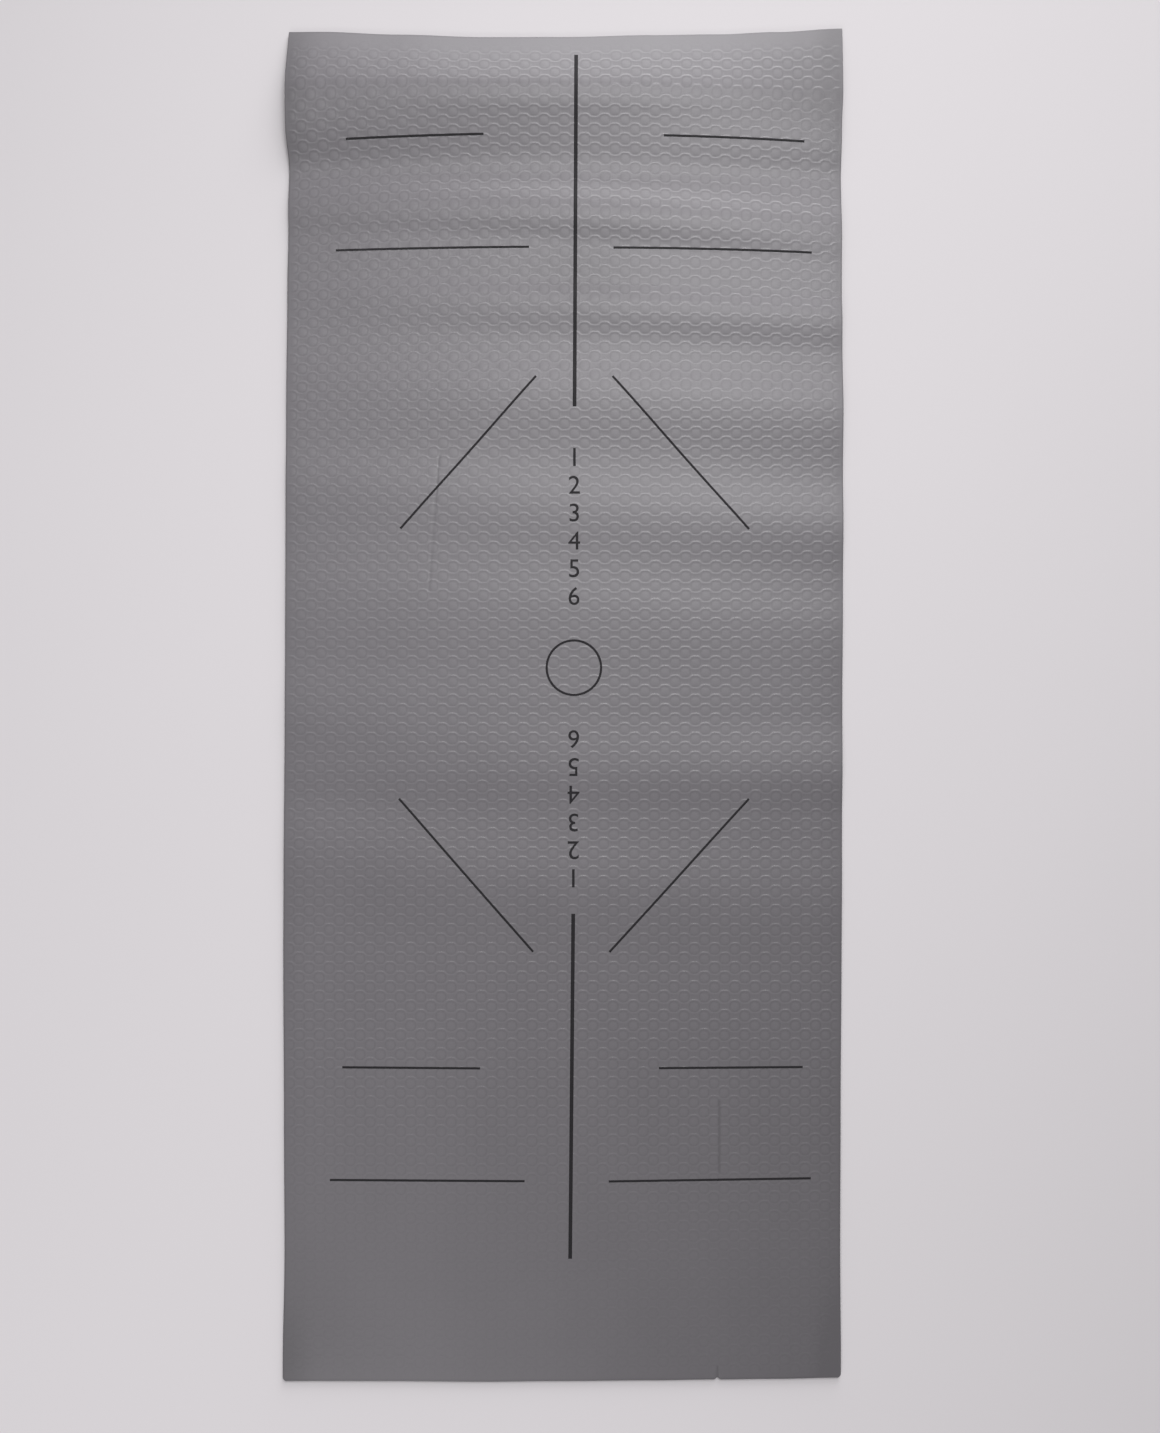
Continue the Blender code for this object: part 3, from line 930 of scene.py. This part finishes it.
class Value:
    """A shader value. Python arithmetic on it adds Math nodes to its finish."""

    def __init__(self, finish, socket):
        self.finish = finish
        self.socket = socket

    def math(self, operation, first, second):
        node = self.finish.add("ShaderNodeMath", {"operation": operation}, {0: first, 1: second})
        return Value(self.finish, node.outputs[0])

    def __add__(self, other):
        return self.math("ADD", self, other)

    def __sub__(self, other):
        return self.math("SUBTRACT", self, other)

    def __mul__(self, other):
        return self.math("MULTIPLY", self, other)


class Finish:
    """A procedural material on a Principled shader."""

    def __init__(self, name):
        self.material = bpy.data.materials.new(name)
        self.material.use_nodes = True
        self.tree = self.material.node_tree
        self.shader = self.tree.nodes["Principled BSDF"]
        self.object_place = self.add("ShaderNodeTexCoord").outputs["Object"]

    def add(self, kind, settings=None, values=None):
        """Adds a node: its settings first, then the values or links of its sockets."""
        node = self.tree.nodes.new(kind)
        for name, setting in (settings or {}).items():
            setattr(node, name, setting)
        for socket, value in (values or {}).items():
            self.put(node.inputs[socket], value)
        return node

    def put(self, socket, value):
        value = value.socket if isinstance(value, Value) else value
        if isinstance(value, bpy.types.NodeSocket):
            self.tree.links.new(value, socket)
        else:
            socket.default_value = value

    def noise(self, scale, detail=2.0, stretch=(1.0, 1.0, 1.0)):
        """Noise with this many grains to the metre, from 0 to 1 with its middle at a half."""
        place = self.add("ShaderNodeMapping", {}, {"Vector": self.object_place, "Scale": stretch})
        node = self.add(
            "ShaderNodeTexNoise",
            {"noise_dimensions": "3D"},
            {"Vector": place.outputs[0], "Scale": scale, "Detail": detail, "Roughness": 0.55},
        )
        return Value(self, node.outputs["Fac"])

    def plan_place(self, limit):
        """X and y of the place, in metres, held within a limit."""
        place = self.object_place
        for operation, bound in (("MINIMUM", limit), ("MAXIMUM", -limit)):
            held = self.add("ShaderNodeVectorMath", {"operation": operation}, {0: place, 1: (bound,) * 3})
            place = held.outputs[0]
        parts = self.add("ShaderNodeSeparateXYZ", {}, {"Vector": place})
        return Value(self, parts.outputs["X"]), Value(self, parts.outputs["Y"])

    def attribute(self, name):
        return Value(self, self.add("ShaderNodeAttribute", {"attribute_name": name}).outputs["Fac"])

    def blend(self, factor, dark, light):
        """A colour between two, by a factor from 0 to 1."""
        node = self.add("ShaderNodeMix", {"data_type": "RGBA", "clamp_factor": True})
        self.put(node.inputs[0], factor)
        self.put(node.inputs[6], dark)
        self.put(node.inputs[7], light)
        return node.outputs[2]

    def bump(self, height, distance, strength):
        node = self.add("ShaderNodeBump", {}, {"Height": height, "Distance": distance, "Strength": strength})
        self.put(self.shader.inputs["Normal"], node.outputs[0])

    def set(self, **values):
        for name, value in values.items():
            self.put(self.shader.inputs[name.replace("_", " ")], value)


def tinted(colour, share):
    """A colour made lighter or darker, as the shader's four numbers."""
    return (*(min(part * share, 1.0) for part in colour), 1.0)


def once(make):
    """Keeps the material that a function makes, so that all the pieces of a finish share it."""
    def wrapped(colours):
        return bpy.data.materials.get(make.__name__) or make(colours)
    return wrapped


@once
def embossed_foam_finish(colours):
    """Closed-cell foam with a pressed skin: cloudy, speckled grey, with a fine grain.

    Its colour is paler on its cells and ridges as painted highlight, and darker in its grooves and creases
    and at its sides, corners, rim and patches as painted shade; its tone also changes evenly from side to
    side and from corner to corner, which is painted shade and light.
    """
    finish = Finish("embossed_foam_finish")
    raised = finish.attribute("height_share")
    ridge = finish.attribute("ridge_share")
    cloud = finish.noise(6.0, 3.0, (1.0, 0.6, 1.0)) - 0.5
    speck = finish.noise(420.0, 2.0) - 0.5
    # Painted shade: darker colour in the grooves round the cells and in the creases, and at the sides,
    # corners, rim and patches
    dark = finish.attribute("groove_share") * 0.34 + finish.attribute("dull_share") * 0.36
    x, y = finish.plan_place(1.0)
    # Painted highlight: the height and ridge shares make cells and ridge crests paler; cloud and speck are
    # the foam's own uneven tone
    mottling_and_painted_light = raised * 0.14 + ridge * 0.08 + cloud * 0.25 + speck * 0.20
    # Painted shade and light: the colour darkens towards the lower right and lightens towards the lower left
    factor = mottling_and_painted_light - x * 0.36 + x * y * 0.46 - dark + 0.46
    colour = finish.blend(factor, tinted(colours.foam, 0.78), tinted(colours.foam, 1.26))
    rough = speck * 0.10 + cloud * 0.06 + 0.43
    finish.set(Base_Color=colour, Roughness=rough, Coat_Weight=ridge * 0.36, Coat_Roughness=0.25)
    finish.bump(finish.noise(900.0, 3.0), 0.12 * MM, 0.35)
    return finish.material


@once
def grip_foam_finish(colours):
    """The base layer's duller foam, with open pores where it was cut."""
    finish = Finish("grip_foam_finish")
    raised = finish.attribute("height_share")
    cloud = finish.noise(9.0, 3.0) - 0.5
    speck = finish.noise(500.0, 2.0) - 0.5
    # Painted shade: paler on the ribs and darker in the grooves between them; cloud and speck are the foam's
    # own uneven tone
    factor = raised * 0.25 + cloud * 0.5 + speck * 0.5 + 0.35
    colour = finish.blend(factor, tinted(colours.base, 0.84), tinted(colours.base, 1.16))
    finish.set(Base_Color=colour, Roughness=speck * 0.1 + 0.66)
    finish.bump(finish.noise(800.0, 3.0), 0.2 * MM, 0.5)
    return finish.material


@once
def printed_ink_finish(colours):
    """Matt ink, a little uneven where it has sunk into the foam's skin."""
    finish = Finish("printed_ink_finish")
    speck = finish.noise(380.0, 3.0) - 0.5
    cloud = finish.noise(30.0, 2.0) - 0.5
    factor = speck * 0.9 + cloud * 0.5 + 0.5
    colour = finish.blend(factor, tinted(colours.ink, 0.8), tinted(colours.ink, 1.3))
    finish.set(Base_Color=colour, Roughness=speck * 0.12 + 0.70, Specular_IOR_Level=0.18)
    finish.bump(finish.noise(1100.0, 2.0), 0.05 * MM, 0.3)
    return finish.material


def floor_finish(colours):
    """A matt pale floor with faint clouding, its colour a little darker towards the head end and the right
    as painted shade.
    """
    finish = Finish("pale_floor")
    x, y = finish.plan_place(1.1)
    cloud = finish.noise(1.1, 2.0) - 0.5
    # Painted shade: darker towards the head end and the right, lighter towards the foot and the left
    factor = x * y * 0.068 - x * 0.154 - y * 0.312 + cloud * 0.06 + 0.484
    colour = finish.blend(factor, tinted(colours.floor, 0.75), tinted(colours.floor, 1.25))
    finish.set(Base_Color=colour, Roughness=0.9, Specular_IOR_Level=0.1)
    return finish.material


# Stage

# Each lamp's place and the width of its disc, in metres
LAMPS = {
    "key": ((0.28, 1.09, 3.00), 1.6),
    "low": ((0.82, 3.50, 1.23), 3.0),
    "near": ((0.46, 1.30, 2.00), 0.9),
    "fill": ((-0.90, -3.30, 2.60), 1.6),
}

# The floor's half width in metres, and how far it lies under the mat, so that no faces coincide
FLOOR_HALF = 9.0
FLOOR_DROP = 0.02 * MM
SURROUND_COLOUR = (1.0, 0.985, 1.0, 1.0)


class YOGAMAT_OT_stage(bpy.types.Operator):
    """Set up the floor, the lights and the camera"""

    bl_idname = "yogamat.stage"
    bl_label = "Stage"

    def execute(self, context):
        stage = context.scene.yoga_mat_stage
        scene = context.scene
        scene.view_settings.view_transform = "Standard"
        self.add_floor(context)
        for name, (place, width) in LAMPS.items():
            self.add_lamp(name, place, width, getattr(stage, name + "_power"), context)
        self.add_surround(stage, scene)
        self.add_camera(stage, context)
        return {"FINISHED"}

    def add_floor(self, context):
        line = np.linspace(-FLOOR_HALF, FLOOR_HALF, 25)
        x, y = np.meshgrid(line, line)
        points = np.stack((x, y, np.full_like(x, -FLOOR_DROP)), axis=-1).reshape(-1, 3)
        floor = make_piece("floor", points, grid_faces(np.arange(x.size).reshape(x.shape)))
        floor.data.materials.append(floor_finish(context.scene.yoga_mat_colours))

    def add_lamp(self, name, place, width, power, context):
        data = bpy.data.lights.new(name, "AREA")
        data.shape = "DISK"
        data.size = width
        data.energy = power
        lamp = bpy.data.objects.new(name, data)
        lamp.location = place
        lamp.rotation_euler = lamp.location.to_track_quat("Z", "Y").to_euler()
        lamp.visible_camera = False
        context.scene.collection.objects.link(lamp)

    def add_surround(self, stage, scene):
        world = bpy.data.worlds.new("surround")
        world.use_nodes = True
        background = world.node_tree.nodes["Background"]
        background.inputs["Color"].default_value = SURROUND_COLOUR
        background.inputs["Strength"].default_value = stage.sky
        scene.world = world

    def add_camera(self, stage, context):
        data = bpy.data.cameras.new("camera")
        data.sensor_width = 36.0
        above_face = stage.camera_height - context.scene.yoga_mat_sizes.thickness
        data.lens = data.sensor_width * above_face / stage.frame_height
        camera = bpy.data.objects.new("camera", data)
        camera.location = (stage.camera_x, stage.camera_y, stage.camera_height)
        context.scene.collection.objects.link(camera)
        context.scene.camera = camera


class YOGAMAT_PT_panel(bpy.types.Panel):
    """Lists the steps that make the mat"""

    bl_idname = "YOGAMAT_PT_panel"
    bl_label = "Yoga mat"
    bl_space_type = "VIEW_3D"
    bl_region_type = "UI"
    bl_category = "Yoga mat"

    def draw(self, context):
        layout = self.layout
        for group in (getattr(context.scene, name) for name in GROUPS):
            for name in group.__annotations__:
                layout.prop(group, name, text=name.replace("_", " ").capitalize())
        for step in STEPS:
            layout.operator(step.bl_idname)


STEPS = (
    YOGAMAT_OT_stage,
    YOGAMAT_OT_top_layer,
    YOGAMAT_OT_base_layer,
    YOGAMAT_OT_centre_ring,
    YOGAMAT_OT_centre_lines,
    YOGAMAT_OT_side_lines,
    YOGAMAT_OT_numerals,
)
GROUPS = {"yoga_mat_sizes": MatSizes, "yoga_mat_colours": MatColours, "yoga_mat_stage": StageSettings}


def register():
    for kind in (*GROUPS.values(), *STEPS, YOGAMAT_PT_panel):
        bpy.utils.register_class(kind)
    for name, kind in GROUPS.items():
        setattr(bpy.types.Scene, name, PointerProperty(type=kind))


def unregister():
    for name in GROUPS:
        delattr(bpy.types.Scene, name)
    for kind in (YOGAMAT_PT_panel, *reversed(STEPS), *reversed(GROUPS.values())):
        bpy.utils.unregister_class(kind)


def main():
    register()
    for step in STEPS:
        group, name = step.bl_idname.split(".")
        getattr(getattr(bpy.ops, group), name)()


if __name__ == "__main__":
    main()
